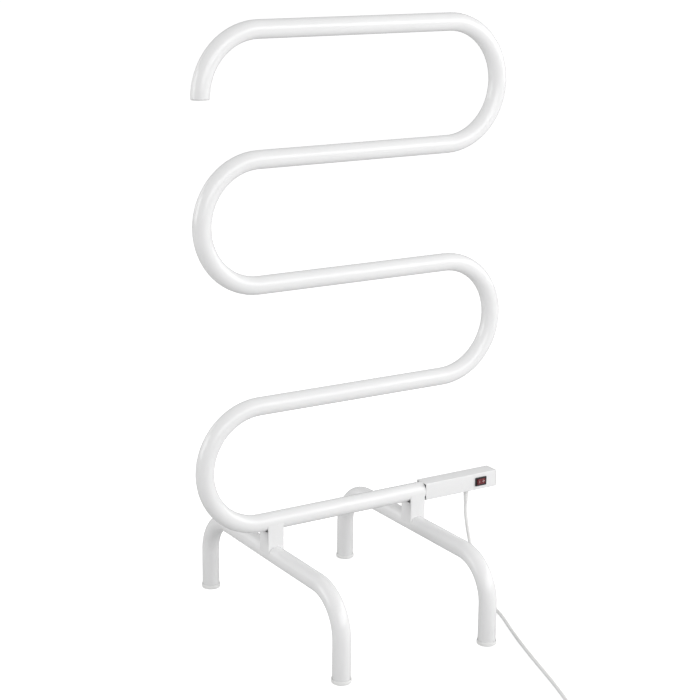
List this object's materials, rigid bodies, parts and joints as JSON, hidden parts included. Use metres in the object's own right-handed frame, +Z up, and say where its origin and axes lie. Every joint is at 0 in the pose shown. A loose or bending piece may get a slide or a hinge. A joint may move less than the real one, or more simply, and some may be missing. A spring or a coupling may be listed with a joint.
{
  "type": "towel warmer rack",
  "caption": "Free-standing electric towel warmer: a serpentine heated tube on two bent tube legs, with a square switch housing and a coiled mains lead.",
  "frame": {"origin": "on the floor, under the middle of the rack without its lead", "axes": "+Z up, the front with the switch faces -Y, +X to the viewer's right along the bars"},
  "size_m": [0.5006, 0.7282, 0.8612],
  "materials": {
    "white_paint": "satin white powder coat",
    "white_plastic": "fine-textured white moulding",
    "dark_nylon": "dark insulating nylon",
    "plated_steel": "zinc-plated steel",
    "black_plastic": "black moulding",
    "red_lens": "translucent dark red lens",
    "brass": "plain brass contact",
    "silicone": "silicone-insulated cable",
    "cord_pvc": "soft white PVC sheath",
    "brown_core": "brown PVC insulation",
    "blue_core": "blue PVC insulation",
    "green_core": "green PVC insulation",
    "strap": "woven hook-and-loop strap"
  },
  "bodies": {
    "rack": {"back_left_foot": "white_plastic", "back_right_foot": "white_plastic", "bush_screw": "plated_steel", "coil_tie": "strap", "control_housing": "white_paint", "cord_coil": "cord_pvc", "earth_core": "green_core", "earth_screw": "plated_steel", "earth_tag": "brass", "element_lead": "silicone", "end_cap_screw": "plated_steel", "front_left_foot": "white_plastic", "front_right_foot": "white_plastic", "heating_element": "silicone", "heating_rail": "white_paint", "housing_end_cap": "white_plastic", "left_leg": "white_paint", "left_leg_screw": "plated_steel", "left_nut_plate": "plated_steel", "left_post": "white_paint", "left_saddle_washer": "plated_steel", "live_core": "brown_core", "neutral_core": "blue_core", "plug_body": "white_plastic", "plug_pin_earth": "brass", "plug_pin_live": "brass", "plug_pin_neutral": "brass", "power_cord": "cord_pvc", "power_cord_tail": "cord_pvc", "rail_bush": "dark_nylon", "rail_end_plug": "white_plastic", "rail_lock_screw": "plated_steel", "right_leg": "white_paint", "right_leg_screw": "plated_steel", "right_nut_plate": "plated_steel", "right_post": "white_paint", "right_saddle_washer": "plated_steel", "rocker_pin": "plated_steel", "strain_relief": "white_plastic", "switch_blade_1": "brass", "switch_blade_2": "brass", "switch_blade_3": "brass", "switch_body": "black_plastic", "switched_core": "brown_core", "thermal_cutout": "silicone"},
    "rocker": {"switch_rocker": "red_lens"}
  },
  "joints": [
    {"name": "rocker_tilt", "type": "hinge", "parent": "rack", "child": "rocker", "pos_m": [0.22, -0.0129, 0.1673], "axis": [0, 0, 1], "range_deg": [-16, 0]}
  ]
}
